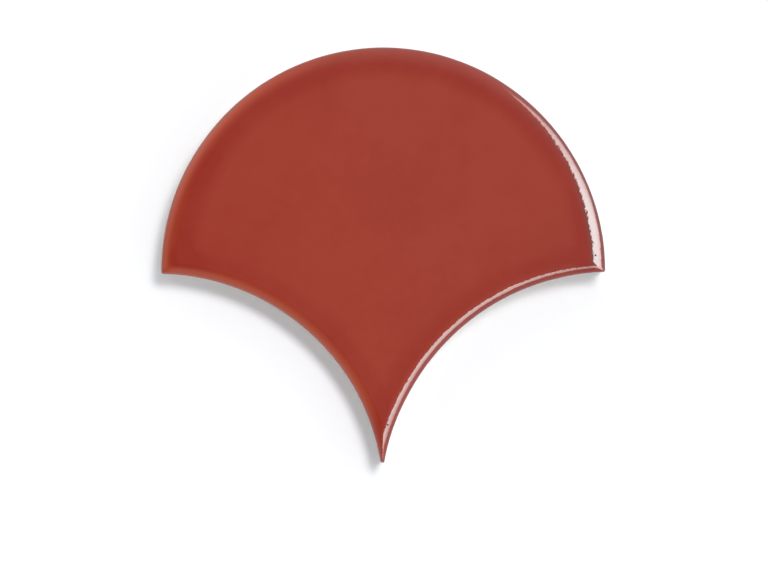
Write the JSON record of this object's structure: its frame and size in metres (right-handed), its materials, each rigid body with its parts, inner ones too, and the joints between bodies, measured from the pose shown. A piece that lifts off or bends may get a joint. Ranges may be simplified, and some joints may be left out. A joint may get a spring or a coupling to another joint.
{
  "type": "fan-shaped wall tile",
  "caption": "Fan-shaped glazed ceramic wall tile with a round end, two hollow sides that nest on its neighbours, a cushioned edge and a keyed back.",
  "frame": {"origin": "on the flat of the back, under the centre of the round end's arc", "axes": "+X across the tile through its two side corners, +Y from the tip towards the round end, +Z out of the glazed face"},
  "size_m": [0.12, 0.1123, 0.0085],
  "materials": {
    "glaze": "glossy brick-red glaze over a fired clay body"
  },
  "bodies": {
    "root": {"wall_tile": "glaze"}
  },
  "joints": []
}
